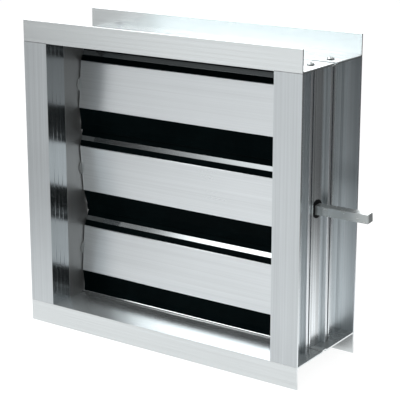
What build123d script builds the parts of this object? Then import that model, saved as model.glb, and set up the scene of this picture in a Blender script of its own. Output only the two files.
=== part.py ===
from build123d import *
import math
import os

# Volume control damper: a rectangular aluminium duct frame with opposed aerofoil blades, geared
# together inside the drive-side frame and turned by one square shaft.
# Millimetres. X across the duct, Y along the air flow, Z up.
# Origin: centre of the airway, in the plane of the front flange.

# ---------------------------------------------------------------- airway and frame
opening_width = 300.0
frame_depth = 125.0
blade_count = 3
blade_pitch = 100.0
edge_margin = 5.0            # airway beyond half a pitch above the top axis and below the bottom axis
flange_wall = 2.0            # every flange and side wall of the frame extrusions
web_wall = 2.0               # web of the top and bottom channels
channel_flange = 25.0        # height of the top and bottom flanges
side_flange = 33.0           # width of the side bars, seen from the front
side_recess = 15.5           # how far the outer side web stands back from the flange edge
rib_width = 9.5             # sealing rib pressed up from each channel web
rib_height = 1.2
rib_wall = 1.5
rib_clearance = 0.2          # side frames and covers are notched round the ribs with this much room
corner_radius = 1.0          # inside corners of the frame extrusions

# ---------------------------------------------------------------- side frames and inner covers
lip_depth = 30.0             # fluted lip beside the airway, at the front and at the rear
lip_wall = 1.5
flute_pitch = 6.8
flute_width = 0.9
flute_depth = 0.1
flute_margin = 1.5           # plain stretch at each edge of a lip
ledge_width = 6.0            # ledge behind each lip that the inner cover sits on
ledge_lap = 3.0              # how much of it lies behind the cover
ledge_wall = 1.5
cover_gap = 0.15             # between the inner cover and each lip
cover_rib = 1.2              # locating rib on the back of the cover
port_offset = 20.6           # screw ports, from mid depth
port_width = 10.0
port_wall = 1.5
port_bore = 4.2
port_slot = 2.4
port_height = 4.5            # how far a port stands out of the side web
screw_inset = 15.0           # screw axis, from the flange edge

# ---------------------------------------------------------------- frame screws
screw_diameter = 4.1
screw_hole = 5.0
screw_length = 15.0
head_diameter = 8.0
head_height = 2.6

# ---------------------------------------------------------------- drive shaft and stub shafts
shaft_square = 10.0
shaft_projection = 48.0      # beyond the drive-side flange edge
shaft_insert = 60.0          # length inside a blade
shaft_chamfer = 0.8
shaft_fit = 0.1              # each side of a square shaft in a square bore

# ---------------------------------------------------------------- blades
blade_flat = 56.0            # height of the flat hollow body
blade_wall = 1.2
blade_edge_radius = 0.9
cap_edge_chamfer = 0.6
blade_tilt = 5.0             # closed blades lean this much, each against the next
tip_gap = 0.4                # between a closed edge blade and its sealing rib
end_gap = 1.3                # between a blade's end and the side of the airway
lip_thickness = 1.2          # soft tip of each edge profile
lip_offset = 1.2             # tips lie this far either side of the blade's middle plane
lip_length = 8.0
wing_step = 0.8              # edge profiles start this much below the body's faces
foot_neck = 3.0
foot_head = 6.0
foot_lip = 1.2
foot_depth = 2.5
foot_fit = 0.12
strip_width = 5.4            # polished clamping strip let into the taper of each edge profile
strip_start = 6.9            # along the taper, from the body's edge
strip_depth = 2.2
strip_proud = 0.4
strip_fit = 0.1
cap_plate = 1.5
cap_plug = 8.0
cap_fit = 0.12

# ---------------------------------------------------------------- bearings
journal_diameter = 18.0      # bush on a square shaft, which runs in its hole in an inner cover
journal_fit = 0.05           # radial running clearance
bush_flange = 1.0            # radial width of the flange against the blade's end
bush_flange_thickness = 0.9
bush_length = 3.0            # from the airway's side outward
drive_bush_diameter = 20.0
drive_bush_flange = 3.0
drive_bush_flange_thickness = 1.2
drive_bush_proud = 0.6

# ---------------------------------------------------------------- gears
gear_teeth = 40
gear_width = 10.0
gear_gap = 0.5               # between a gear and the ledge in front of it
gear_addendum = 0.8          # in modules
gear_dedendum = 1.05
gear_backlash = 0.2          # taken off each tooth at the pitch circle
gear_pressure_angle = 20.0

# ---------------------------------------------------------------- worked-out places
half_width = opening_width / 2
half_height = blade_count * blade_pitch / 2 + edge_margin
flange_x = half_width + side_flange
web_x = flange_x - side_recess                 # outer face of a side web
mid_y = frame_depth / 2
screw_x = flange_x - screw_inset
port_ys = [mid_y - port_offset, mid_y + port_offset]
blade_zs = [(blade_count - 1) * blade_pitch / 2 - i * blade_pitch for i in range(blade_count)]
drive_blade = blade_count // 2
blade_thickness = shaft_square + 2 * (shaft_fit + blade_wall)
blade_end = half_width - end_gap
tip_radius = (blade_pitch / 2 + edge_margin - rib_height - tip_gap) / math.cos(math.radians(blade_tilt))
cover_back = half_width + lip_wall
gear_x = cover_back + ledge_wall + gear_gap


def block(x, y, z):
    """A box given by its lowest and highest coordinate along each axis."""
    centre = Pos((x[0] + x[1]) / 2, (y[0] + y[1]) / 2, (z[0] + z[1]) / 2)
    return centre * Box(x[1] - x[0], y[1] - y[0], z[1] - z[0])


def panel(x, y):
    """A flat rectangle given by its lowest and highest coordinate along each axis."""
    return Pos((x[0] + x[1]) / 2, (y[0] + y[1]) / 2) * Rectangle(x[1] - x[0], y[1] - y[0])


def outline(points):
    """A face with straight edges through the points."""
    return make_face(Polyline(*points, close=True))


def along_x(section, x0, x1):
    """Carries a section drawn in (Y, Z) from x0 to x1."""
    return extrude(Pos(x0, 0, 0) * (Plane.YZ * section), x1 - x0, dir=(1, 0, 0))


def upright(section):
    """Carries a section drawn in (X, Y) over the full height of the airway."""
    return extrude(Pos(0, 0, -half_height) * section, 2 * half_height, dir=(0, 0, 1))


def rod_x(radius, x0, x1):
    """A round bar on the X axis."""
    return along_x(Circle(radius), x0, x1)


def turned(shape, index):
    """Leans a blade's piece, drawn about the X axis, the way its blade leans when closed."""
    lean = -blade_tilt if index % 2 == 0 else blade_tilt
    return Pos(0, mid_y, blade_zs[index]) * Rot(lean, 0, 0) * shape


# ================================================================ top and bottom channels
def channel_section():
    """Bottom channel in (Y, Z): two flanges, a web beside the airway and the sealing rib."""
    web_top = -half_height
    outer = panel((0, frame_depth), (web_top - channel_flange, web_top))
    inner = panel((flange_wall, frame_depth - flange_wall), (web_top - channel_flange, web_top - web_wall))
    inner = fillet(inner.vertices().group_by(Axis.Y)[-1], corner_radius)
    rib = panel((mid_y - rib_width, mid_y), (web_top - web_wall, web_top + rib_height))
    rib = fillet(rib.vertices().group_by(Axis.Y)[-1], rib_wall)
    groove = panel((mid_y - rib_width + rib_wall, mid_y - rib_wall),
                   (web_top - channel_flange, web_top + rib_height - rib_wall))
    return outer - inner + rib - groove


def bottom_channel():
    channel = along_x(channel_section(), -flange_x, flange_x)
    for x in (-screw_x, screw_x):
        for y in port_ys:
            channel -= Pos(x, y, -half_height) * Cylinder(screw_hole / 2, 4 * web_wall)
    return channel


def top_channel():
    """The same extrusion, turned half a turn about the middle of the airway."""
    return Pos(0, mid_y, 0) * Rot(180, 0, 0) * Pos(0, -mid_y, 0) * bottom_channel()


# ================================================================ side frames
def flutes(y0, y1):
    """Shallow V grooves along a lip's airway face, spaced evenly between its plain edges."""
    count = int((y1 - y0 - 2 * flute_margin) / flute_pitch)
    start = (y0 + y1) / 2 - (count - 1) * flute_pitch / 2
    grooves = Sketch()
    for i in range(count):
        y = start + i * flute_pitch
        grooves += outline([(half_width - flute_depth, y - flute_width),
                            (half_width + flute_depth, y),
                            (half_width - flute_depth, y + flute_width)])
    return grooves


def screw_port(y):
    """A C-shaped port for a frame screw: its block, and the bore and slot to cut from it."""
    body = panel((screw_x - port_bore / 2 - port_wall, web_x + port_height), (y - port_width / 2, y + port_width / 2))
    body = fillet(body.vertices().group_by(Axis.X)[-1], corner_radius)
    bore = Pos(screw_x, y) * Circle(port_bore / 2)
    slot = panel((screw_x, web_x + 2 * port_height), (y - port_slot / 2, y + port_slot / 2))
    return body, bore + slot


def side_section():
    """Drive-side frame in (X, Y), with the airway on its left."""
    section = panel((half_width, flange_x), (0, flange_wall))
    section += panel((half_width, flange_x), (frame_depth - flange_wall, frame_depth))
    section += panel((web_x - flange_wall, web_x), (0, frame_depth))
    for near, far in ((0, lip_depth), (frame_depth, frame_depth - lip_depth)):
        inward = 1 if far > near else -1
        lip_end = far + inward * ledge_lap
        section += panel((half_width, cover_back), sorted((near, far)))
        section += panel((cover_back, cover_back + ledge_wall), sorted((lip_end - inward * ledge_width, lip_end)))
        section -= flutes(*sorted((near, far)))
    for y in port_ys:
        body, bore = screw_port(y)
        section = section + body - bore
    return section


def rib_notches():
    """Room for the two sealing ribs at the ends of the side frames and covers."""
    rib_y = (mid_y - rib_width - rib_clearance, mid_y + rib_clearance)
    rib_z = (-half_height - rib_height, -half_height + rib_height + rib_clearance)
    low = block((-2 * flange_x, 2 * flange_x), rib_y, rib_z)
    return low + Pos(0, mid_y, 0) * Rot(180, 0, 0) * Pos(0, -mid_y, 0) * low


def side_frame(driven):
    frame = upright(side_section()) - rib_notches()
    if driven:
        hole = rod_x(drive_bush_diameter / 2 + journal_fit, web_x - 2 * flange_wall, web_x + 2 * flange_wall)
        return frame - Pos(0, mid_y, 0) * hole
    return mirror(frame, Plane.YZ)


def inner_cover():
    """Plain strip between the lips of the drive-side frame, with a hole at every blade axis."""
    y0 = lip_depth + cover_gap
    y1 = frame_depth - y0
    section = panel((half_width, cover_back), (y0, y1))
    rib_x = (cover_back, cover_back + ledge_wall)
    rib_y = y0 + ledge_lap + cover_gap
    section += panel(rib_x, (rib_y, rib_y + cover_rib))
    section += panel(rib_x, (frame_depth - rib_y - cover_rib, frame_depth - rib_y))
    cover = upright(section) - rib_notches()
    bore = rod_x(journal_diameter / 2 + journal_fit, half_width - 2 * lip_wall, cover_back + 2 * lip_wall)
    for z in blade_zs:
        cover -= Pos(0, mid_y, z) * bore
    return cover


def frame_screw(x, y):
    """Pan-head screw driven up into the bottom end of a screw port."""
    seat = -half_height - web_wall
    screw = Pos(x, y, seat + screw_length / 2) * Cylinder(screw_diameter / 2, screw_length)
    head = Pos(x, y, seat - head_height / 2) * Cylinder(head_diameter / 2, head_height)
    return screw + head


def bottom_screws():
    return Compound([frame_screw(x, y) for x in (-screw_x, screw_x) for y in port_ys])


def top_screws():
    return Pos(0, mid_y, 0) * Rot(180, 0, 0) * Pos(0, -mid_y, 0) * bottom_screws()


# ================================================================ blades, drawn upright about the X axis
def half_turn(section):
    """The lower edge is the upper edge turned half a turn about the blade's axis."""
    return Rot(0, 0, 180) * section


def wing_section():
    """Upper edge profile in (Y, Z) without its foot: a taper that ends in a thin round-tipped lip."""
    base = blade_flat / 2
    root = blade_thickness / 2 - wing_step
    front = lip_offset - lip_thickness / 2
    rear = lip_offset + lip_thickness / 2
    taper_end = tip_radius - lip_length
    round_start = tip_radius - lip_thickness / 2
    edge = Polyline((front, round_start), (front, taper_end), (-root, base), (root, base),
                    (rear, taper_end), (rear, round_start))
    tip = ThreePointArc((rear, round_start), (lip_offset, tip_radius), (front, round_start))
    return make_face(Curve() + edge + tip)


def foot_section(grow):
    """T-shaped foot of an edge profile, or with grow its slot in the body's edge."""
    edge = blade_flat / 2
    neck = foot_neck / 2 + grow
    head = foot_head / 2 + grow
    return (panel((-neck, neck), (edge - foot_lip - foot_depth, edge + grow))
            + panel((-head, head), (edge - foot_lip - foot_depth - grow, edge - foot_lip + grow)))


def on_taper(section):
    """Places a section on the front taper of the upper edge profile: X up along it, Y out of it."""
    rise = tip_radius - lip_length - blade_flat / 2
    run = blade_thickness / 2 - wing_step + lip_offset - lip_thickness / 2
    slope = math.degrees(math.atan2(rise, run))
    return Pos(wing_step - blade_thickness / 2, blade_flat / 2) * Rot(0, 0, slope) * section


def strip_section():
    return on_taper(panel((strip_start, strip_start + strip_width), (-strip_depth, strip_proud)))


def strip_seat():
    """The open-topped groove that the clamping strip lies in."""
    along = (strip_start - strip_fit, strip_start + strip_width + strip_fit)
    return on_taper(panel(along, (-strip_depth, strip_width)))


def body_section():
    """Hollow body in (Y, Z): a square tunnel for the shaft, a chamber either side, a slot in each edge."""
    body = Rectangle(blade_thickness, blade_flat)
    body = fillet(body.vertices(), blade_edge_radius)
    tunnel = shaft_square + 2 * shaft_fit
    body -= Rectangle(tunnel, tunnel)
    for chamber in chambers(0):
        body -= chamber
    slot = foot_section(foot_fit)
    return body - slot - half_turn(slot)


def chambers(shrink):
    """The body's two hollow chambers; with shrink, the plugs that fit in them."""
    half = blade_thickness / 2 - blade_wall - shrink
    v0 = shaft_square / 2 + shaft_fit + blade_wall + shrink
    v1 = blade_flat / 2 - 2 * foot_lip - foot_depth - foot_fit - shrink
    upper = panel((-half, half), (v0, v1))
    return [upper, half_turn(upper)]


def blade_body():
    return along_x(body_section(), cap_plate - blade_end, blade_end - cap_plate)


def edge_profile():
    """Upper edge profile over the blade's whole length; its foot ends with the body, inside the caps."""
    wing = along_x(wing_section() - strip_seat(), -blade_end, blade_end)
    return wing + along_x(foot_section(0), cap_plate - blade_end, blade_end - cap_plate)


def clamping_strip():
    return along_x(strip_section(), -blade_end, blade_end)


def end_cap():
    """Drive-side cap: a plate that closes the hollow body, with a plug for each chamber."""
    plate = Rectangle(blade_thickness, blade_flat)
    plate = chamfer(plate.vertices(), cap_edge_chamfer)
    cap = along_x(plate, blade_end - cap_plate, blade_end)
    for chamber in chambers(cap_fit):
        cap += along_x(chamber, blade_end - cap_plate - cap_plug, blade_end - cap_plate)
    return cap - square_bar(shaft_fit, blade_end - 2 * cap_plug, half_width + 2 * bush_length)


def bearing_bush():
    """Drive-side bush: round outside, square bore, with a flange that spaces the blade off the cover."""
    bush = rod_x(journal_diameter / 2, blade_end, half_width + bush_length)
    bush += rod_x(journal_diameter / 2 + bush_flange, blade_end, blade_end + bush_flange_thickness)
    return bush - square_bar(shaft_fit, blade_end - bush_length, half_width + 2 * bush_length)


def square_bar(grow, x0, x1):
    side = shaft_square + 2 * grow
    return along_x(Rectangle(side, side), x0, x1)


def square_shaft(x0, x1):
    """Square steel bar with chamfered ends."""
    bar = square_bar(0, x0, x1)
    return chamfer(bar.edges().group_by(Axis.X)[0] + bar.edges().group_by(Axis.X)[-1], shaft_chamfer)


# ================================================================ gears
def gear_section(phase):
    """Involute spur gear whose pitch circle is one blade pitch across.

    phase is the place of a tooth's middle, from +Z, in teeth."""
    module = blade_pitch / gear_teeth
    pitch_radius = blade_pitch / 2
    base_radius = pitch_radius * math.cos(math.radians(gear_pressure_angle))
    root_radius = pitch_radius - gear_dedendum * module
    top_radius = pitch_radius + gear_addendum * module

    def involute(radius):
        unwound = math.acos(min(1.0, base_radius / radius))
        return math.tan(unwound) - unwound

    half_tooth = math.pi / (2 * gear_teeth) - gear_backlash / (2 * pitch_radius)
    radii = (root_radius, pitch_radius, top_radius)
    flank = [(radius, half_tooth + involute(pitch_radius) - involute(radius)) for radius in radii]
    points = []
    for tooth in range(gear_teeth):
        middle = math.pi / 2 - (tooth + phase) * 2 * math.pi / gear_teeth
        sides = [(r, middle + a) for r, a in flank] + [(r, middle - a) for r, a in reversed(flank)]
        points += [(r * math.cos(a), r * math.sin(a)) for r, a in sides]
    return outline(points)


def gear(index):
    """A blade's gear, with a square bore that leans with the blade."""
    phase = 0 if index % 2 == 0 else 0.5
    wheel = along_x(gear_section(phase), gear_x, gear_x + gear_width)
    wheel = Pos(0, mid_y, blade_zs[index]) * wheel
    return wheel - turned(square_bar(shaft_fit, gear_x - gear_width, gear_x + 2 * gear_width), index)


def drive_bush():
    """Round bush with a square bore that carries the drive shaft in the side web."""
    inner_end = web_x - flange_wall - drive_bush_flange_thickness
    bush = rod_x(drive_bush_diameter / 2, inner_end, web_x + drive_bush_proud)
    bush += rod_x(drive_bush_diameter / 2 + drive_bush_flange, inner_end, web_x - flange_wall - journal_fit)
    return bush - square_bar(shaft_fit, inner_end - flange_wall, web_x + 2 * drive_bush_proud)


# ================================================================ write every piece
def frame_pieces():
    cover = inner_cover()
    return {
        "top_channel": top_channel(),
        "bottom_channel": bottom_channel(),
        "right_side_frame": side_frame(True),
        "left_side_frame": side_frame(False),
        "right_inner_cover": cover,
        "left_inner_cover": mirror(cover, Plane.YZ),
        "top_frame_screws": top_screws(),
        "bottom_frame_screws": bottom_screws(),
    }


def blade_pieces(index):
    name = f"blade_{index + 1}"
    edge = edge_profile()
    strip = clamping_strip()
    cap = end_cap()
    bush = bearing_bush()
    stub_start = blade_end - cap_plate - shaft_insert
    gear_end = gear_x + gear_width
    lower = Rot(180, 0, 0)
    pieces = {
        f"{name}_body": blade_body(),
        f"{name}_upper_edge_profile": edge,
        f"{name}_lower_edge_profile": lower * edge,
        f"{name}_upper_clamping_strip": strip,
        f"{name}_lower_clamping_strip": lower * strip,
        f"{name}_right_end_cap": cap,
        f"{name}_left_end_cap": mirror(cap, Plane.YZ),
        f"{name}_bearing_bushes": Compound([bush, mirror(bush, Plane.YZ)]),
        f"{name}_left_stub_shaft": square_shaft(-half_width - bush_length, -stub_start),
    }
    if index == drive_blade:
        pieces["drive_shaft"] = square_shaft(stub_start, flange_x + shaft_projection)
        pieces["drive_shaft_bush"] = drive_bush()
    else:
        pieces[f"{name}_right_stub_shaft"] = square_shaft(stub_start, gear_end)
    placed = {node: turned(piece, index) for node, piece in pieces.items()}
    placed[f"{name}_gear"] = gear(index)
    return placed


def main():
    os.makedirs("parts", exist_ok=True)
    pieces = frame_pieces()
    for index in range(blade_count):
        pieces.update(blade_pieces(index))
    for node, piece in pieces.items():
        export_step(piece, f"parts/{node}.step")


main()
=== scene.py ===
import math

import bpy
import numpy as np
from bpy.props import FloatProperty, FloatVectorProperty, PointerProperty
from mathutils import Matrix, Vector


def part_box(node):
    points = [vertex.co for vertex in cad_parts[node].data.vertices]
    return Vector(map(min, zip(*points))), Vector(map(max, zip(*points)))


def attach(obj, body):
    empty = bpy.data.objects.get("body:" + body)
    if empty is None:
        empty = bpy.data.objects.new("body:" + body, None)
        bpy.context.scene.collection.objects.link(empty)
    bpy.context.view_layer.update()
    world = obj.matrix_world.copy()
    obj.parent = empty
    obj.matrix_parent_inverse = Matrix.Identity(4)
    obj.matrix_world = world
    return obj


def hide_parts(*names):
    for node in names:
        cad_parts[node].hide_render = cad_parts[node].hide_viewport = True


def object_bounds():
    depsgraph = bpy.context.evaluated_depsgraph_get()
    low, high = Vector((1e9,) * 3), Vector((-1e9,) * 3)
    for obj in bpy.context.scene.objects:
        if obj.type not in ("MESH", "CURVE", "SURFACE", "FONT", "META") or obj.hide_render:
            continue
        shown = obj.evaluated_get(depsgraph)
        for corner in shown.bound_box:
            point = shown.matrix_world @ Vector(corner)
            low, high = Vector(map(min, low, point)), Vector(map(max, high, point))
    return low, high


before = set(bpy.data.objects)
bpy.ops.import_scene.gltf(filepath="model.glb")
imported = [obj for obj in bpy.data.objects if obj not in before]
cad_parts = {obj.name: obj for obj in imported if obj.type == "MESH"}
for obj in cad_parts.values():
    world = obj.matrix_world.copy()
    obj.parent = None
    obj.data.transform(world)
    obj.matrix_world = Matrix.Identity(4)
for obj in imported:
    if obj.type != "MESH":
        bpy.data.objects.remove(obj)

CAD_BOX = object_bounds()

bl_info = {
    "name": "Volume Control Damper",
    "version": (1, 0, 0),
    "blender": (4, 5, 0),
    "location": "3D View > Sidebar > Damper",
    "description": "Finishes the parts of a square volume control damper and sets up its studio",
    "category": "Object",
}

BLADES = (1, 2, 3)
EDGES = ("upper", "lower")
MM = 0.001

# Where the finishes change, in the frame's own X, Y and Z.
MIDDLE = 62.5 * MM  # Y halfway between the two openings
AIRWAY_SIDE = 150.0 * MM  # X of the airway's sides, either way
LIP_BACK = 151.2 * MM  # X that parts the side frames' lips from their recesses
JOINT_FOOT = 154.9 * MM  # Z under the joint between the top channel and the side frames
JOINT_TOP = 155.6 * MM  # Z over it
RIB_FRONT = 53.6 * MM  # Y of the folded ribs' front faces
# Half-width of the painted shade on the ribs' front faces.
RIB_SHADE_REACH = 0.7 * MM


# ------------------------------------------------------------------ settings


def colour_property(name, description, default):
    """A colour, as red, green and blue."""
    return FloatVectorProperty(
        name=name, description=description, default=default, size=3, min=0.0, max=1.0, subtype="COLOR"
    )


def length_property(name, description, default):
    """A length in metres."""
    return FloatProperty(
        name=name, description=description, default=default, min=0.0, unit="LENGTH", subtype="DISTANCE"
    )


def angle_property(name, description, degrees):
    """An angle, with its default in degrees."""
    return FloatProperty(name=name, description=description, default=math.radians(degrees), subtype="ANGLE")


def level_property(name, description, default, **limits):
    """A plain number from 0 up, such as a lamp's power or a brightness."""
    return FloatProperty(name=name, description=description, default=default, min=0.0, **limits)


class DamperFinishes(bpy.types.PropertyGroup):
    """Colours and surface treatment of the damper's materials."""

    channel_colour: colour_property("Channels", "Mill-finish aluminium of the channels", (0.76, 0.80, 0.81))
    side_colour: colour_property("Side frames", "Extruded aluminium of the side frames", (0.63, 0.67, 0.69))
    blade_colour: colour_property("Blades", "Extruded aluminium of the blade bodies", (0.75, 0.79, 0.81))
    strip_colour: colour_property("Clamping strips", "Bright aluminium of the strips", (0.40, 0.43, 0.44))
    cover_colour: colour_property("Inner covers", "Satin aluminium of the inner covers", (0.46, 0.47, 0.47))
    profile_colour: colour_property("Edge profiles", "Black sealing profiles", (0.0004, 0.0024, 0.0028))
    bush_colour: colour_property("Blade bushes", "Grey nylon of the blades' bushes", (0.26, 0.28, 0.28))
    nylon_colour: colour_property("Shaft bush", "Black nylon on the drive shaft", (0.0015, 0.0022, 0.0026))
    gear_colour: colour_property("Gears", "Dark moulded gear plastic", (0.012, 0.013, 0.015))
    zinc_colour: colour_property("Shafts and screws", "Zinc-plated steel", (0.56, 0.59, 0.59))
    line_strength: level_property("Extrusion lines", "Contrast of the lines drawn by the die", 1.0, max=3.0)
    edge_radius: length_property("Edge radius", "Rounding of the sheared and sawn edges", 0.40 * MM)


class DamperScrews(bpy.types.PropertyGroup):
    """Pan-head screws that hold the channels on the side frames."""

    head_diameter: length_property("Head diameter", "Across the pan head", 8.0 * MM)
    head_height: length_property("Head height", "Bearing face to crown", 2.6 * MM)
    shank_diameter: length_property("Thread diameter", "Over the thread's crests", 4.1 * MM)
    thread_pitch: length_property("Thread pitch", "Advance in one turn", 1.4 * MM)
    thread_depth: length_property("Thread depth", "Crest to root", 0.42 * MM)
    recess_span: length_property("Recess span", "Tip to tip of the cross recess", 4.4 * MM)
    recess_width: length_property("Recess width", "Width of each arm of the cross", 1.1 * MM)
    recess_depth: length_property("Recess depth", "Depth of the cross at its middle", 1.5 * MM)


class DamperStage(bpy.types.PropertyGroup):
    """Camera, lamps, floor and background."""

    azimuth: angle_property("Azimuth", "Camera's turn from the front face", 34.65)
    elevation: angle_property("Elevation", "Camera's height angle", 14.12)
    distance: length_property("Distance", "Camera to the point that it faces", 1.464)
    target: FloatVectorProperty(
        name="Target",
        description="Point that the camera faces",
        default=(0.0172, 0.0625, 0.0316),
        subtype="XYZ",
        unit="LENGTH",
    )
    lens: FloatProperty(
        name="Focal length", description="Lens on a 36 mm sensor, mm", default=118.35, min=1.0
    )
    shift: FloatProperty(name="Vertical shift", description="Lens shift", default=-0.10)
    key_power: level_property("Overhead lamp", "Power of the overhead lamp, W", 26.0)
    side_power: level_property("Front lamp", "Power of the front lamp, W", 16.0)
    ambient: level_property("Ambient light", "World's light on matt surfaces", 0.4)
    # The painted pool of light that the floor shows in reflections.
    painted_pool_level: level_property("Pool light", "Level of the lit floor near the damper", 0.93)
    painted_pool_beside: level_property("Pool light beside", "Its level on the shaft's side", 1.6)
    painted_pool_near: length_property("Pool radius", "Where the lit floor begins to fade", 0.20)
    painted_pool_far: length_property("Pool limit", "Where the floor looks as its side of the studio", 0.85)


# ------------------------------------------------------------ shader helpers


class Wire:
    """One socket of a shader tree. Sums and products of wires add the tree's Math nodes."""

    def __init__(self, tree, socket=None):
        self.tree = tree
        self.socket = socket

    def node(self, kind, settings=None, inputs=None, output=0):
        """Adds a node of any kind: its settings first, then the values or links of its sockets.

        output names or numbers the socket that comes back as a wire, and is None on a tree's output.
        """
        made = self.tree.nodes.new(kind)
        for name, value in (settings or {}).items():
            if name == "stops":
                self.set_stops(made.color_ramp, value)
            else:
                setattr(made, name, value)
        for key, value in (inputs or {}).items():
            if isinstance(value, Wire):
                self.tree.links.new(value.socket, made.inputs[key])
            else:
                made.inputs[key].default_value = value
        return None if output is None else Wire(self.tree, made.outputs[output])

    @staticmethod
    def set_stops(ramp, stops):
        """Gives a colour ramp its stops, each a place and a grey level."""
        while len(ramp.elements) < len(stops):
            ramp.elements.new(0.5)
        for element, (place, level) in zip(ramp.elements, stops):
            element.position = place
            element.color = (level, level, level, 1.0)

    def math(self, operation, first, second=0.0, clamp=False):
        """A Math node on two values, each a wire or a number."""
        return self.node(
            "ShaderNodeMath", {"operation": operation, "use_clamp": clamp}, {0: first, 1: second}
        )

    def __add__(self, other):
        return self.math("ADD", self, other)

    def __radd__(self, other):
        return self.math("ADD", other, self)

    def __sub__(self, other):
        return self.math("SUBTRACT", self, other)

    def __rsub__(self, other):
        return self.math("SUBTRACT", other, self)

    def __mul__(self, other):
        return self.math("MULTIPLY", self, other)

    def __rmul__(self, other):
        return self.math("MULTIPLY", other, self)

    def __gt__(self, other):
        return self.math("GREATER_THAN", self, other)

    def __lt__(self, other):
        return self.math("LESS_THAN", self, other)

    def __abs__(self):
        return self.math("ABSOLUTE", self)


def coordinates(start, kind):
    """Places or directions to draw a pattern on: kind is Object, Normal or, for a world, Generated."""
    return start.node("ShaderNodeTexCoord", None, None, kind)


def rays(start, *kinds):
    """For each kind of ray, such as Camera or Glossy, a wire that is 1 for it and 0 for the others."""
    return [start.node("ShaderNodeLightPath", None, None, f"Is {kind} Ray") for kind in kinds]


def axis_of(vector, axis):
    """One coordinate of a vector wire: 0, 1 or 2 for X, Y or Z."""
    return vector.node("ShaderNodeSeparateXYZ", None, {0: vector}, axis)


def stretched(vector, scale, offset=(0.0, 0.0, 0.0)):
    """A vector wire scaled by a different amount along each axis."""
    return vector.node(
        "ShaderNodeMapping", {"vector_type": "POINT"}, {"Vector": vector, "Scale": scale, "Location": offset}
    )


def noise(vector, scale=1.0, detail=2.0, roughness=0.5):
    """Smooth random values from 0 to 1 over a vector wire."""
    return vector.node(
        "ShaderNodeTexNoise",
        {"noise_dimensions": "3D"},
        {"Vector": vector, "Scale": scale, "Detail": detail, "Roughness": roughness},
    )


def ramp(value, *stops):
    """Grey levels set along a value, straight between the stops."""
    return value.node("ShaderNodeValToRGB", {"stops": stops}, {0: value})


def smooth_step(value, start, end):
    """0 up to one value, 1 from the other on, smooth between them."""
    return value.node(
        "ShaderNodeMapRange",
        {"interpolation_type": "SMOOTHSTEP"},
        {0: value, 1: start, 2: end, 3: 0.0, 4: 1.0},
    )


def mixed(factor, first, second):
    """A colour that goes from first to second as the factor goes from 0 to 1."""
    any_wire = next(item for item in (factor, first, second) if isinstance(item, Wire))
    return any_wire.node(
        "ShaderNodeMix", {"data_type": "RGBA", "clamp_factor": True}, {0: factor, 6: first, 7: second}, 2
    )


def tint(colour, gain):
    """An opaque colour made lighter or darker by a plain number."""
    return tuple(min(1.0, channel * gain) for channel in colour) + (1.0,)


def bumped(height, strength, distance):
    """Surface normals from a height wire."""
    return height.node("ShaderNodeBump", None, {"Strength": strength, "Distance": distance, "Height": height})


def emptied(owner):
    """The first wire of a material's or a world's shader tree, cleared of its nodes."""
    owner.use_nodes = True
    owner.node_tree.nodes.clear()
    return Wire(owner.node_tree)


def shown(shader, output="ShaderNodeOutputMaterial"):
    """Links a shader to its tree's output."""
    shader.node(output, None, {0: shader}, None)


def principled(start, inputs):
    """Shows a Principled shader with these wires and numbers on its sockets."""
    shown(start.node("ShaderNodeBsdfPrincipled", None, inputs))


# ---------------------------------------------------------------- materials

# Noise cells to the metre in the aluminium: across its lines, then along them.
WIDE_LINES = (210.0, 0.8)
FINE_LINES = (1500.0, 5.0)
RUB_MARKS = (170.0, 0.9)
HANDLING = 8.0
SAW_MARKS = 900.0

FACING = 0.7  # share of its normal along an axis that makes a face look along it
SAWN_FACING = 0.8
OXIDE_FILM = 0.04  # share of matt film on bare aluminium
RELIEF_UNIT = 0.10 * MM  # height of an extrusion's relief where its height wire is 1
CROWN_SLOPE = 0.165  # how far the bottom web's normals lean, as a slope

# Where a screw head's colour goes near black.
CROWN_BARE = 0.35 * MM  # depth below the crown's top that keeps its colour
RIM_DARKENING = 0.75 * MM  # height of the darker foot of the rim over the bearing face
SEAT_DARKENING = 0.1 * MM  # how far the darker band reaches below that face


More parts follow.
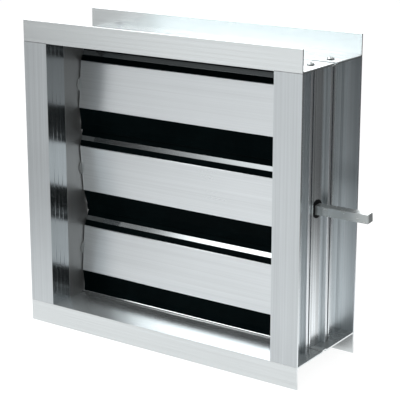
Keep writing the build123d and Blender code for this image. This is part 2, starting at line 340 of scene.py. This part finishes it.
def extruded_metal(name, colour, grain, contrast, satin, seam_and_shade=None, bow=None):
    """Aluminium with the long lines that its die leaves along one axis.

    grain is the axis of the lines, 0, 1 or 2. Wide lines, fine lines and slow clouds of handling
    change the colour and roughness, and sawn ends are duller. satin is called with the place and
    the normal and returns numbers or wires: the roughness, the relief of the lines, the share of
    matt oxide film, and how far the colour goes to black, for painted shade or rub marks. The mask
    of seams and painted shade, if given, is called with the place and returns 1 where a joint has
    gathered grime or shade is painted, 0 elsewhere. bow, if given, is called with the place and the
    normal and returns a height, in RELIEF_UNIT, that bends the sheet's faces.
    """
    material = bpy.data.materials.new(name)
    start = emptied(material)
    place = coordinates(start, "Object")
    normal = coordinates(start, "Normal")

    def drawn(cells):
        """The scale of noise whose cells are drawn out along the grain."""
        return tuple(cells[1] if axis == grain else cells[0] for axis in range(3))

    wide = noise(stretched(place, drawn(WIDE_LINES)), detail=3.0, roughness=0.55)
    fine = noise(stretched(place, drawn(FINE_LINES), (3.1, 1.7, 0.4)), detail=2.0)
    cloud = noise(stretched(place, (HANDLING,) * 3, (7.0, 2.0, 5.0)), detail=4.0, roughness=0.55)
    saw = noise(stretched(place, (SAW_MARKS,) * 3), detail=1.0)
    sawn = abs(axis_of(normal, grain)) > SAWN_FACING

    level = ramp(wide * 0.35 + fine * 0.40 + cloud * 0.25, (0.32, 0.0), (0.68, 1.0))
    metal = mixed(level, tint(colour, 1.0 - 0.09 * contrast), tint(colour, 1.0 + 0.07 * contrast))
    roughness, relief, film, painted_shade_and_rubs = satin(place, normal)
    # Painted shade, and the side frames' rub marks, take the colour towards black here.
    metal = mixed(sawn * saw, mixed(painted_shade_and_rubs, metal, tint(colour, 0.0)), tint(colour, 0.72))
    if seam_and_shade is not None:
        # Grime in the joints and painted shade on the folded ribs take the colour darker here.
        metal = mixed(seam_and_shade(place), metal, tint(colour, 0.25))
    height = (fine * 0.5 + wide * 0.5) * (relief * (0.25 * contrast))
    if bow is not None:
        height = height + bow(place, normal)
    principled(
        start,
        {
            "Base Color": metal,
            "Roughness": roughness + 0.06 * (wide - 0.5) + 0.10 * (cloud - 0.5) + 0.14 * sawn,
            "Metallic": 1.0 - film * (cloud * 0.4 + 0.8),
            "Normal": bumped(height, 1.0, RELIEF_UNIT),
        },
    )
    return material


def channel_satin(place, normal):
    """The webs have a little more film than the flanges, and the top web's underside carries painted shade.
    """
    upright = axis_of(normal, 2)
    web = abs(upright) > FACING
    # Painted shade: the top web's underside is made darker as if in shadow.
    under = (upright < -FACING) * (axis_of(place, 2) > 0.0)
    return 0.22 + 0.04 * web, 0.25 - 0.20 * web, OXIDE_FILM + 0.10 * web, 0.8 * under


def channel_seam_and_rib_shade(place):
    """Grime where the top channel's front flange meets the side frames, and painted shade on the front of the
    folded ribs.
    """
    height = axis_of(place, 2)
    outside = abs(axis_of(place, 0)) > AIRWAY_SIDE
    joint = outside * (height > JOINT_FOOT) * (height < JOINT_TOP)
    # Painted shade on the folded ribs' front faces.
    rib_shade = (abs(axis_of(place, 1) - RIB_FRONT) < RIB_SHADE_REACH) * (abs(height) < JOINT_FOOT)
    return joint + 0.7 * rib_shade


def channel_bow(place, normal):
    """The bottom web is crowned: its upper face falls a little from the middle to both openings."""
    upper = (axis_of(normal, 2) > FACING) * (axis_of(place, 2) < 0.0)
    return upper * abs(axis_of(place, 1) - MIDDLE) * (-CROWN_SLOPE / RELIEF_UNIT)


def side_frame_satin(place, normal):
    """Satin flanges, a smoother recess with strong lines and rub marks, and almost bright fluted lips made
    darker by painted shade.
    """
    depth = abs(axis_of(place, 0))
    sideways = abs(axis_of(normal, 0)) > FACING
    lip = sideways * (depth < LIP_BACK)
    recess = sideways * (depth > LIP_BACK)
    across, along = RUB_MARKS
    rubs = noise(stretched(place, (across, across, along)), detail=3.0, roughness=0.6)
    # Painted shade on the lips; random rub marks on the recess.
    painted_shade_and_rubs = 0.14 * lip + 0.38 * recess * ramp(rubs, (0.48, 0.0), (0.66, 1.0))
    return 0.34 - 0.14 * lip - 0.12 * recess, 0.25 - 0.23 * lip + 1.25 * recess, OXIDE_FILM, painted_shade_and_rubs


def even_satin(roughness, relief):
    """The same roughness and relief of the lines all over a part."""
    return lambda place, normal: (roughness, relief, OXIDE_FILM, 0.0)


def bright_strip(name, colour):
    """Polished aluminium strip: faint lines along it and a mirror-like face."""
    material = bpy.data.materials.new(name)
    start = emptied(material)
    place = coordinates(start, "Object")
    lines = noise(stretched(place, (3.0, 1400.0, 1400.0)), detail=2.0)
    cloud = noise(place, scale=12.0, detail=3.0)
    principled(
        start,
        {
            "Base Color": mixed(lines, tint(colour, 0.90), tint(colour, 1.0)),
            "Roughness": 0.03 + 0.04 * cloud + 0.04 * lines,
            "Metallic": 1.0,
            "Normal": bumped(lines, 0.05, 0.05 * MM),
        },
    )
    return material


def moulded(name, colour, roughness, specular, grain_scale, drawn=False):
    """Plastic: a fine moulded grain, or long drawn lines on an extruded profile, and dusty clouds."""
    material = bpy.data.materials.new(name)
    start = emptied(material)
    place = coordinates(start, "Object")
    scale = (4.0, grain_scale, grain_scale) if drawn else (grain_scale,) * 3
    grain = noise(stretched(place, scale), detail=3.0, roughness=0.6)
    dust = ramp(noise(place, scale=18.0, detail=4.0, roughness=0.6), (0.45, 0.0), (0.75, 1.0))
    dusty = tuple(channel * 1.5 + 0.0015 for channel in colour) + (1.0,)
    principled(
        start,
        {
            "Base Color": mixed(dust, mixed(grain, tint(colour, 0.8), tint(colour, 1.15)), dusty),
            "Roughness": roughness + 0.18 * (grain - 0.5) + 0.10 * dust,
            "Normal": bumped(grain, 0.25, 0.10 * MM),
            "Specular IOR Level": specular,
        },
    )
    return material


def zinc_plate(name, colour, darkening=None):
    """Zinc-plated steel: soft spangle, faint warm and cool patches and a few rubs.

    The darkening mask, if given, is called with the place and returns 1 where the colour goes near black, 0
    elsewhere.
    """
    material = bpy.data.materials.new(name)
    start = emptied(material)
    place = coordinates(start, "Object")
    patches = noise(place, scale=160.0, detail=3.0)
    rubs = noise(stretched(place, (60.0, 1600.0, 1600.0)), detail=2.0)
    red, green, blue = colour
    warm = (red, green * 0.985, blue * 0.95, 1.0)
    cool = (red * 0.93, green * 0.965, blue, 1.0)
    plated = mixed(patches, cool, warm)
    # The colour goes near black where the darkening mask is 1.
    if darkening is not None:
        plated = mixed(darkening(place), plated, tint(colour, 0.06))
    principled(
        start,
        {
            "Base Color": plated,
            "Roughness": 0.16 + 0.12 * patches + 0.06 * rubs,
            "Metallic": 0.65,
            "Normal": bumped(rubs * 0.6 + patches * 0.4, 0.18, 0.08 * MM),
        },
    )
    return material


def head_darkening(sizes, axes, seat):
    """A mask for the cross recess and the foot of the rim of every screw head, where the colour goes near
    black.

    axes comes from screw_axes, and seat is how far the heads' bearing faces lie from 0 in Z, the
    same above and below.
    """
    along, middle, beside = axes
    head = sizes.head_diameter / 2

    def mask(place):
        off_x = abs(axis_of(place, 0)) - along
        off_y = abs(axis_of(place, 1) - middle) - beside
        radius = place.math("SQRT", off_x * off_x + off_y * off_y)
        above = abs(axis_of(place, 2)) - seat
        recess = (radius < sizes.recess_span * 0.46) * (above < sizes.head_height - CROWN_BARE)
        rim = (radius > 0.86 * head) * (above < RIM_DARKENING)
        return (recess + rim) * (above > -SEAT_DARKENING)

    return mask


def dress(names, material, edge=0.0, corner=40.0):
    """Gives CAD nodes a material. With an edge radius, rounds edges that turn more than corner degrees."""
    for name in names:
        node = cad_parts[name]
        for slot in node.material_slots:
            slot.material = material
        if edge > 0.0:
            weld = node.modifiers.new("Weld", "WELD")
            weld.merge_threshold = 0.002 * MM
            bevel = node.modifiers.new("Edge rounding", "BEVEL")
            bevel.width = edge
            bevel.segments = 2
            bevel.limit_method = "ANGLE"
            bevel.angle_limit = math.radians(corner)
            bevel.harden_normals = True
            bevel.use_clamp_overlap = True


# ------------------------------------------------------------------- screws

SCREW_COLUMNS = 48  # points round a screw
RINGS_PER_TURN = 10  # rings of points to one turn of the thread
SCREW_TURNS = (0.35, 1.1, 0.75, 0.1)  # how far each screw of a row is turned, in radians
RIDGE_SLOPE = 3.2  # the thread's ridge takes 2 / RIDGE_SLOPE of its pitch
RUNOUT = 0.6  # part of a turn in which the thread rises, from the head down
POINT_LENGTH = 3.0 * MM
POINT_SHARE = 0.12  # radius of the point, as a share of the shank's
RIM_EDGE = 0.12 * MM  # rounding of the head's lower edge
RIM_HEIGHT = 0.9 * MM  # where the crown begins, above the bearing face
RIM_INSET = 0.1575 * MM  # how far inside the rim the bearing face ends
CROWN_POWER = 3.2
RECESS_WALL = 0.14 * MM  # how far the walls of the cross recess lean along its arms
RECESS_END = 0.9 * MM  # and at their tips


def closed_grid(rings, columns):
    """Quads that join every ring of points to the next, and triangles that close both poles.

    Point 0 is the first pole, then come rings times columns points, and the last pole.
    """
    ring, column = np.meshgrid(np.arange(rings - 1), np.arange(columns), indexing="ij")
    after = (column + 1) % columns
    low, high = ring * columns, (ring + 1) * columns
    corners = (low + column, low + after, high + after, high + column)
    quads = np.stack([corner.ravel() + 1 for corner in corners], axis=1)
    around = np.arange(columns)
    onward = (around + 1) % columns
    last = 1 + rings * columns
    first_fan = np.stack([np.zeros(columns, int), onward + 1, around + 1], axis=1)
    base = 1 + (rings - 1) * columns
    last_fan = np.stack([np.full(columns, last), base + around, base + onward], axis=1)
    return quads, np.concatenate([first_fan, last_fan])


def screw_surface(sizes, length):
    """Points and faces of one pan-head tapping screw, crown up, bearing face at height 0.

    The profile goes from the point up the shank, out under the head, round its rim and over the
    crown. On the shank the radius is the root radius plus a triangle wave of height over pitch less
    angle over a full turn, which is a helix. On the crown the height rises from the rim by 1 less
    the radius over the head's radius to the power CROWN_POWER, less the cross recess: its depth
    times the larger of two smooth box masks, each one arm of the cross.
    """
    root = sizes.shank_diameter / 2 - sizes.thread_depth
    head = sizes.head_diameter / 2
    turn = np.linspace(0.0, 2 * np.pi, SCREW_COLUMNS, endpoint=False)

    shank_z = np.linspace(-length, 0.0, int(length / sizes.thread_pitch * RINGS_PER_TURN))
    height, angle = np.meshgrid(shank_z, turn, indexing="ij")
    phase = np.mod(height / sizes.thread_pitch - angle / (2 * np.pi), 1.0)
    ridge = np.clip(1.0 - np.abs(phase - 0.5) * RIDGE_SLOPE, 0.0, 1.0)
    taper = np.clip((height + length) / POINT_LENGTH, POINT_SHARE, 1.0)
    runout = np.clip(-height / (RUNOUT * sizes.thread_pitch), 0.0, 1.0)
    shank_r = (root + sizes.thread_depth * ridge * runout) * taper

    bend = np.linspace(0.0, np.pi / 2, 6)
    seat_r = [root * 1.02, (root + head) / 2, head - RIM_INSET]
    side_r = np.concatenate([seat_r, head - RIM_EDGE * (1 - np.sin(bend))])
    side_z = np.concatenate([[0.0, 0.0, 0.0], RIM_EDGE * (1 - np.cos(bend))])
    crown_u = np.concatenate([np.linspace(0.0, 0.35, 8), np.linspace(0.37, 0.985, 34)])
    crown_r = head * (1.0 - crown_u)
    crown_rise = (sizes.head_height - RIM_HEIGHT) * (1.0 - (crown_r / head) ** CROWN_POWER)
    radius = np.concatenate([side_r, crown_r])
    level = np.concatenate([side_z, RIM_HEIGHT + crown_rise])
    head_r, head_a = np.meshgrid(radius, turn, indexing="ij")
    head_z = np.repeat(level[:, None], SCREW_COLUMNS, axis=1)

    def arm(across, along):
        """1 inside one arm of the cross, falling smoothly to 0 over its tapered walls."""
        wide = np.clip((sizes.recess_width / 2 - np.abs(across)) / RECESS_WALL + 0.5, 0.0, 1.0)
        reach = np.clip((sizes.recess_span / 2 - np.abs(along)) / RECESS_END, 0.0, 1.0)
        return wide * reach

    x, y = head_r * np.cos(head_a), head_r * np.sin(head_a)
    recess = np.maximum(arm(x, y), arm(y, x)) * (head_z > RIM_HEIGHT * 1.01)
    head_z = head_z - sizes.recess_depth * recess

    all_r = np.concatenate([shank_r, head_r])
    all_a = np.concatenate([angle, head_a])
    all_z = np.concatenate([height, head_z])
    rings = np.stack([all_r * np.cos(all_a), all_r * np.sin(all_a), all_z], axis=2).reshape(-1, 3)
    first = np.array([[0.0, 0.0, -length]])
    last = np.array([[0.0, 0.0, sizes.head_height - sizes.recess_depth]])
    quads, fans = closed_grid(len(all_r), SCREW_COLUMNS)
    return np.concatenate([first, rings, last]), quads, fans


def mesh_object(name, points, faces, material, smooth_angle=None):
    """A mesh object at the origin from points and faces, linked to the scene."""
    mesh = bpy.data.meshes.new(name)
    mesh.from_pydata(points, [], faces)
    mesh.materials.append(material)
    mesh.validate()
    if smooth_angle is not None:
        mesh.shade_smooth()
        mesh.set_sharp_from_angle(angle=smooth_angle)
    made = bpy.data.objects.new(name, mesh)
    bpy.context.scene.collection.objects.link(made)
    return made


def screw_axes(node, sizes):
    """Where a CAD node's four screws stand: X either side of 0, the middle in Y, and Y either side of it."""
    low, high = (np.array(corner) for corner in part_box(node))
    head = sizes.head_diameter / 2
    return float(high[0] - head), float(low[1] + high[1]) / 2, float(high[1] - low[1]) / 2 - head


def screw_row(name, node, up, sizes, material):
    """Four screws in the places of a CAD node's four, driven down or, with up -1, driven up."""
    low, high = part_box(node)
    along, middle, beside = screw_axes(node, sizes)
    seat = high[2] - sizes.head_height if up > 0 else low[2] + sizes.head_height
    length = (high[2] - low[2]) - sizes.head_height
    points, quads, fans = screw_surface(sizes, length)
    parts, faces = [], []
    places = [(x, y) for x in (-along, along) for y in (middle - beside, middle + beside)]
    for turn, (x, y) in zip(SCREW_TURNS, places):
        shift = len(parts) * len(points)
        cos, sin = math.cos(turn), math.sin(turn)
        placed = points @ np.array([[cos, sin, 0.0], [-sin, cos, 0.0], [0.0, 0.0, 1.0]])
        if up < 0:
            placed = placed * np.array([1.0, -1.0, -1.0])
        parts.append(placed + np.array([x, y, seat]))
        faces += (quads + shift).tolist() + (fans + shift).tolist()
    made = mesh_object(name, np.concatenate(parts), faces, material, math.radians(35.0))
    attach(made, "frame")
    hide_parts(node)


# ---------------------------------------------------------------- operators


class FinishStep:
    """What every operator shares."""

    bl_options = {"REGISTER", "UNDO"}


class DAMPER_OT_channels(FinishStep, bpy.types.Operator):
    """Finish the top and bottom channels as mill-finish aluminium"""

    bl_idname = "damper.channels"
    bl_label = "Finish the channels"

    def execute(self, context):
        look = context.scene.damper_finishes
        metal = extruded_metal(
            "Channel aluminium",
            look.channel_colour,
            0,
            look.line_strength,
            channel_satin,
            channel_seam_and_rib_shade,
            channel_bow,
        )
        dress(("top_channel", "bottom_channel"), metal, look.edge_radius)
        return {"FINISHED"}


class DAMPER_OT_side_frames(FinishStep, bpy.types.Operator):
    """Finish the extruded side frames, with their lines upright"""

    bl_idname = "damper.side_frames"
    bl_label = "Finish the side frames"

    def execute(self, context):
        look = context.scene.damper_finishes
        contrast = 1.8 * look.line_strength
        metal = extruded_metal("Side frame aluminium", look.side_colour, 2, contrast, side_frame_satin)
        dress(("right_side_frame", "left_side_frame"), metal, look.edge_radius)
        return {"FINISHED"}


class DAMPER_OT_covers(FinishStep, bpy.types.Operator):
    """Finish the inner covers that carry the bearings"""

    bl_idname = "damper.covers"
    bl_label = "Finish the inner covers"

    def execute(self, context):
        look = context.scene.damper_finishes
        contrast = 0.6 * look.line_strength
        metal = extruded_metal("Cover aluminium", look.cover_colour, 2, contrast, even_satin(0.52, 0.4))
        dress(("right_inner_cover", "left_inner_cover"), metal, 0.4 * look.edge_radius)
        return {"FINISHED"}


class DAMPER_OT_blades(FinishStep, bpy.types.Operator):
    """Finish the hollow blade bodies and their end caps, with their lines along the blades"""

    bl_idname = "damper.blades"
    bl_label = "Finish the blade bodies"

    def execute(self, context):
        look = context.scene.damper_finishes
        satin = even_satin(0.30, 0.3)
        metal = extruded_metal("Blade aluminium", look.blade_colour, 0, look.line_strength, satin)
        names = [f"blade_{n}_{part}" for n in BLADES for part in ("body", "left_end_cap", "right_end_cap")]
        dress(names, metal, 0.4 * look.edge_radius)
        return {"FINISHED"}


class DAMPER_OT_edge_profiles(FinishStep, bpy.types.Operator):
    """Finish the black edge profiles of the blades"""

    bl_idname = "damper.edge_profiles"
    bl_label = "Finish the edge profiles"

    def execute(self, context):
        look = context.scene.damper_finishes
        black = moulded("Black edge profile", look.profile_colour, 0.42, 0.015, 1100.0, drawn=True)
        dress([f"blade_{n}_{edge}_edge_profile" for n in BLADES for edge in EDGES], black)
        return {"FINISHED"}


class DAMPER_OT_clamping_strips(FinishStep, bpy.types.Operator):
    """Finish the bright strips that clamp the edge profiles"""

    bl_idname = "damper.clamping_strips"
    bl_label = "Finish the clamping strips"

    def execute(self, context):
        look = context.scene.damper_finishes
        bright = bright_strip("Bright strip aluminium", look.strip_colour)
        names = [f"blade_{n}_{edge}_clamping_strip" for n in BLADES for edge in EDGES]
        dress(names, bright, 0.25 * look.edge_radius)
        return {"FINISHED"}


class DAMPER_OT_bushes(FinishStep, bpy.types.Operator):
    """Finish the nylon bushes"""

    bl_idname = "damper.bushes"
    bl_label = "Finish the bushes"

    def execute(self, context):
        look = context.scene.damper_finishes
        grey = moulded("Grey nylon", look.bush_colour, 0.45, 0.30, 900.0)
        dress([f"blade_{n}_bearing_bushes" for n in BLADES], grey)
        black = moulded("Black nylon", look.nylon_colour, 0.42, 0.08, 900.0)
        dress(["drive_shaft_bush"], black)
        return {"FINISHED"}


class DAMPER_OT_gears(FinishStep, bpy.types.Operator):
    """Finish the moulded gears that turn neighbouring blades against each other"""

    bl_idname = "damper.gears"
    bl_label = "Finish the gears"

    def execute(self, context):
        look = context.scene.damper_finishes
        plastic = moulded("Gear plastic", look.gear_colour, 0.46, 0.35, 700.0)
        dress([f"blade_{n}_gear" for n in BLADES], plastic)
        return {"FINISHED"}


class DAMPER_OT_shafts(FinishStep, bpy.types.Operator):
    """Finish the square drive shaft and the stub shafts"""

    bl_idname = "damper.shafts"
    bl_label = "Finish the shafts"

    def execute(self, context):
        look = context.scene.damper_finishes
        zinc = zinc_plate("Zinc-plated shaft steel", look.zinc_colour)
        names = ["drive_shaft", "blade_1_right_stub_shaft", "blade_3_right_stub_shaft"]
        names += [f"blade_{n}_left_stub_shaft" for n in BLADES]
        dress(names, zinc, 0.5 * look.edge_radius, 60.0)
        return {"FINISHED"}


class DAMPER_OT_frame_screws(FinishStep, bpy.types.Operator):
    """Make the pan-head screws in the top and bottom channels"""

    bl_idname = "damper.frame_screws"
    bl_label = "Make the frame screws"

    def execute(self, context):
        look = context.scene.damper_finishes
        sizes = context.scene.damper_screws
        seat = float(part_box("top_frame_screws")[1][2]) - sizes.head_height
        darkening = head_darkening(sizes, screw_axes("top_frame_screws", sizes), seat)
        zinc = zinc_plate("Zinc-plated screw steel", look.zinc_colour, darkening)
        screw_row("pan_head_screws_top", "top_frame_screws", 1, sizes, zinc)
        screw_row("pan_head_screws_bottom", "bottom_frame_screws", -1, sizes, zinc)
        return {"FINISHED"}


# ------------------------------------------------------------------- studio

# What the metal mirrors, in degrees round Z from X and levels: the far floor and the foot of the
# walls, the walls above it, and the sky over them. WALL_GAIN turns the levels of walls and sky into
# light, and STUDIO_PEAK is the highest level that the tables may hold.
STUDIO_PEAK = 5.0
WALL_GAIN = 0.8
LOW_LEVELS = (
    (0, 0.30), (60, 0.12), (95, 0.55), (122, 1.0), (183, 1.0), (196, 0.40), (222, 0.48),
    (229, 0.64), (233.5, 0.96), (272, 0.90), (300, 0.40), (312, 0.26), (360, 0.30),
)
HIGH_LEVELS = (
    (0, 0.30), (60, 0.12), (95, 0.90), (118, 2.2), (140, 2.2), (150, 0.85), (183, 0.85),
    (196, 0.30), (222, 0.05), (233.0, 0.06), (235.5, 0.70), (237.5, 2.0), (239.5, 2.3),
    (244, 0.95), (272, 0.95), (286, 0.06), (335, 0.06), (360, 0.30),
)
SKY_LEVELS = (
    (0, 0.40), (60, 0.20), (95, 0.90), (114, 4.6), (142, 4.6), (152, 0.85), (183, 0.85),
    (196, 0.60), (222, 0.40), (232.6, 0.50), (234.0, 5.0), (239.5, 5.0), (243, 0.95),
    (272, 1.0), (290, 0.20), (360, 0.40),
)
OVERHEAD_LEVEL = 0.85

# Rise of a direction, as the sine of its height angle, over which one part gives way to the next.
WALLS_RISE = (0.02, 0.09)
SKY_RISE = (0.17, 0.22)
OVERHEAD_RISE = (0.60, 0.86)

FLOOR_REACH = 12.0  # from the middle to each side, in metres
FLOOR_CELLS = 8
FLOOR_GAP = 0.5 * MM  # between the floor and the damper
FLOOR_SEEN = 0.86  # the floor's glow to the eye, which the lamps' light brings up to white
FLOOR_MATT = 0.32  # the grey of its matt surface, which takes the shadow
POOL_SPLIT = (0.175, 0.220)  # X over which the painted pool of light turns brighter on the shaft's side
PAINTED_SHADOW_ACROSS = (0.190, 0.150)  # X over which the painted shadow below the damper sets in
PAINTED_SHADOW_DEEP = (0.070, 0.040)  # distance from MIDDLE over which the painted shadow sets in, along Y
PAINTED_SHADOW_SHARE = 0.75  # how much of the floor's reflected glow the painted shadow takes away

LAMP_AIM = (0.0, 0.06, 0.0)
OVERHEAD_PLACE, OVERHEAD_SIZE = (-0.9, -0.4, 1.7), 1.5
FRONT_PLACE, FRONT_SIZE = (0.9, -1.9, 0.9), 1.2
SENSOR_WIDTH = 36.0
VIEW_DEPTH = (0.05, 60.0)


def area_lamp(name, place, size, power):
    """A square soft lamp that faces the damper."""
    light = bpy.data.lights.new(name, "AREA")
    light.shape = "SQUARE"
    light.size = size
    light.energy = power
    lamp = bpy.data.objects.new(name, light)
    lamp.location = place
    lamp.rotation_euler = (Vector(LAMP_AIM) - Vector(place)).to_track_quat("-Z", "Y").to_euler()
    bpy.context.scene.collection.objects.link(lamp)
    return lamp


def studio_level(direction, levels):
    """How bright the studio is towards a direction: its angle round Z, in degrees from X, on a ramp."""
    angle = direction.math("ARCTAN2", axis_of(direction, 1), axis_of(direction, 0))
    turn = direction.math("FRACT", angle * (0.5 / math.pi) + 1.0)
    return ramp(turn, *((degrees / 360.0, level / STUDIO_PEAK) for degrees, level in levels)) * STUDIO_PEAK


def floor_material(stage):
    """Pale floor: white to the eye. In reflections it shows a painted pool of light near the damper and a
    painted shadow right below it.
    """
    material = bpy.data.materials.new("Studio floor")
    start = emptied(material)
    seen, glossy = rays(start, "Camera", "Glossy")
    place = coordinates(start, "Object")
    reach = start.node("ShaderNodeVectorMath", {"operation": "LENGTH"}, {0: place}, 1)
    far = smooth_step(reach, stage.painted_pool_near, stage.painted_pool_far)
    level = studio_level(place, LOW_LEVELS)
    beside = smooth_step(axis_of(place, 0), *POOL_SPLIT)
    lit = stage.painted_pool_level + beside * (stage.painted_pool_beside - stage.painted_pool_level)
    # Painted pool of light near the damper, seen in reflections.
    pool = level + (1.0 - far) * (lit - level)
    # Painted shadow right below the damper, seen in reflections.
    across = smooth_step(abs(axis_of(place, 0)), *PAINTED_SHADOW_ACROSS)
    inward = smooth_step(abs(axis_of(place, 1) - MIDDLE), *PAINTED_SHADOW_DEEP)
    reflected = pool * (1.0 - PAINTED_SHADOW_SHARE * across * inward)
    matt = start.node("ShaderNodeBsdfDiffuse", None, {"Color": (FLOOR_MATT,) * 3 + (1.0,)})
    glow = start.node("ShaderNodeEmission", None, {"Strength": seen * FLOOR_SEEN + glossy * reflected})
    both = start.node("ShaderNodeAddShader", None, {0: matt, 1: glow})
    shown(start.node("ShaderNodeMixShader", None, {0: glossy, 1: both, 2: glow}))
    return material


def floor_grid(height):
    """Points and faces of the floor: a flat grid of FLOOR_CELLS squares each way at one height."""
    side = np.linspace(-FLOOR_REACH, FLOOR_REACH, FLOOR_CELLS + 1)
    x, y = np.meshgrid(side, side, indexing="xy")
    points = np.stack([x.ravel(), y.ravel(), np.full(x.size, height)], axis=1)
    row, column = np.meshgrid(np.arange(FLOOR_CELLS), np.arange(FLOOR_CELLS), indexing="ij")
    first = (row * side.size + column).ravel()
    above = first + side.size
    return points, np.stack([first, first + 1, above + 1, above], axis=1).tolist()


def studio_world(stage):
    """White to the eye, the studio's levels in reflections, and an even light on matt surfaces."""
    world = bpy.data.worlds.new("Studio")
    start = emptied(world)
    seen, glossy, through = rays(start, "Camera", "Glossy", "Transmission")
    direction = coordinates(start, "Generated")
    rise = axis_of(direction, 2)
    low, high, sky = (studio_level(direction, levels) for levels in (LOW_LEVELS, HIGH_LEVELS, SKY_LEVELS))
    upper = high + smooth_step(rise, *SKY_RISE) * (sky - high)
    walls = low + smooth_step(rise, *WALLS_RISE) * (upper - low)
    reflected = walls + smooth_step(rise, *OVERHEAD_RISE) * (OVERHEAD_LEVEL - walls)
    matt = 1.0 - start.math("ADD", seen + glossy, through, clamp=True)
    strength = seen + through + glossy * reflected * WALL_GAIN + matt * stage.ambient
    background = start.node(
        "ShaderNodeBackground", None, {"Color": (1.0, 1.0, 1.0, 1.0), "Strength": strength}
    )
    shown(background, "ShaderNodeOutputWorld")
    bpy.context.scene.world = world


def stage_camera(stage):
    """The scene's camera: at the stage's angles and distance from its target, facing it."""
    camera = bpy.data.cameras.new("Camera")
    camera.sensor_width = SENSOR_WIDTH
    camera.lens = stage.lens
    camera.shift_y = stage.shift
    camera.clip_start, camera.clip_end = VIEW_DEPTH
    level = math.cos(stage.elevation)
    away = Vector(
        (math.sin(stage.azimuth) * level, -math.cos(stage.azimuth) * level, math.sin(stage.elevation))
    )
    eye = bpy.data.objects.new("Camera", camera)
    eye.location = Vector(stage.target) + away * stage.distance
    eye.rotation_euler = (-away).to_track_quat("-Z", "Y").to_euler()
    bpy.context.scene.collection.objects.link(eye)
    bpy.context.scene.camera = eye


class DAMPER_OT_stage(FinishStep, bpy.types.Operator):
    """Set up the camera, the pale floor, the soft lamps and the white background"""

    bl_idname = "damper.stage"
    bl_label = "Set up the studio"

    def execute(self, context):
        stage = context.scene.damper_stage
        context.scene.view_settings.view_transform = "Standard"
        points, faces = floor_grid(CAD_BOX[0][2] - FLOOR_GAP)
        mesh_object("studio_floor", points, faces, floor_material(stage))
        studio_world(stage)
        area_lamp("Overhead lamp", OVERHEAD_PLACE, OVERHEAD_SIZE, stage.key_power)
        front = area_lamp("Front lamp", FRONT_PLACE, FRONT_SIZE, stage.side_power)
        front.visible_glossy = False
        stage_camera(stage)
        return {"FINISHED"}


class DAMPER_PT_sidebar(bpy.types.Panel):
    """Sizes, colours and steps of the damper"""

    bl_idname = "DAMPER_PT_sidebar"
    bl_label = "Volume Control Damper"
    bl_space_type = "VIEW_3D"
    bl_region_type = "UI"
    bl_category = "Damper"

    def draw(self, context):
        for group in (context.scene.damper_finishes, context.scene.damper_screws, context.scene.damper_stage):
            box = self.layout.box()
            for name in group.__annotations__:
                box.prop(group, name)
        for step in STEPS:
            self.layout.operator(step.bl_idname)


STEPS = (
    DAMPER_OT_channels,
    DAMPER_OT_side_frames,
    DAMPER_OT_covers,
    DAMPER_OT_blades,
    DAMPER_OT_edge_profiles,
    DAMPER_OT_clamping_strips,
    DAMPER_OT_bushes,
    DAMPER_OT_gears,
    DAMPER_OT_shafts,
    DAMPER_OT_frame_screws,
    DAMPER_OT_stage,
)
CLASSES = (DamperFinishes, DamperScrews, DamperStage) + STEPS + (DAMPER_PT_sidebar,)


def register():
    for cls in CLASSES:
        bpy.utils.register_class(cls)
    bpy.types.Scene.damper_finishes = PointerProperty(type=DamperFinishes)
    bpy.types.Scene.damper_screws = PointerProperty(type=DamperScrews)
    bpy.types.Scene.damper_stage = PointerProperty(type=DamperStage)


def unregister():
    del bpy.types.Scene.damper_stage
    del bpy.types.Scene.damper_screws
    del bpy.types.Scene.damper_finishes
    for cls in reversed(CLASSES):
        bpy.utils.unregister_class(cls)


def main():
    register()
    for step in STEPS:
        group, call = step.bl_idname.split(".")
        getattr(getattr(bpy.ops, group), call)()


if __name__ == "__main__":
    main()
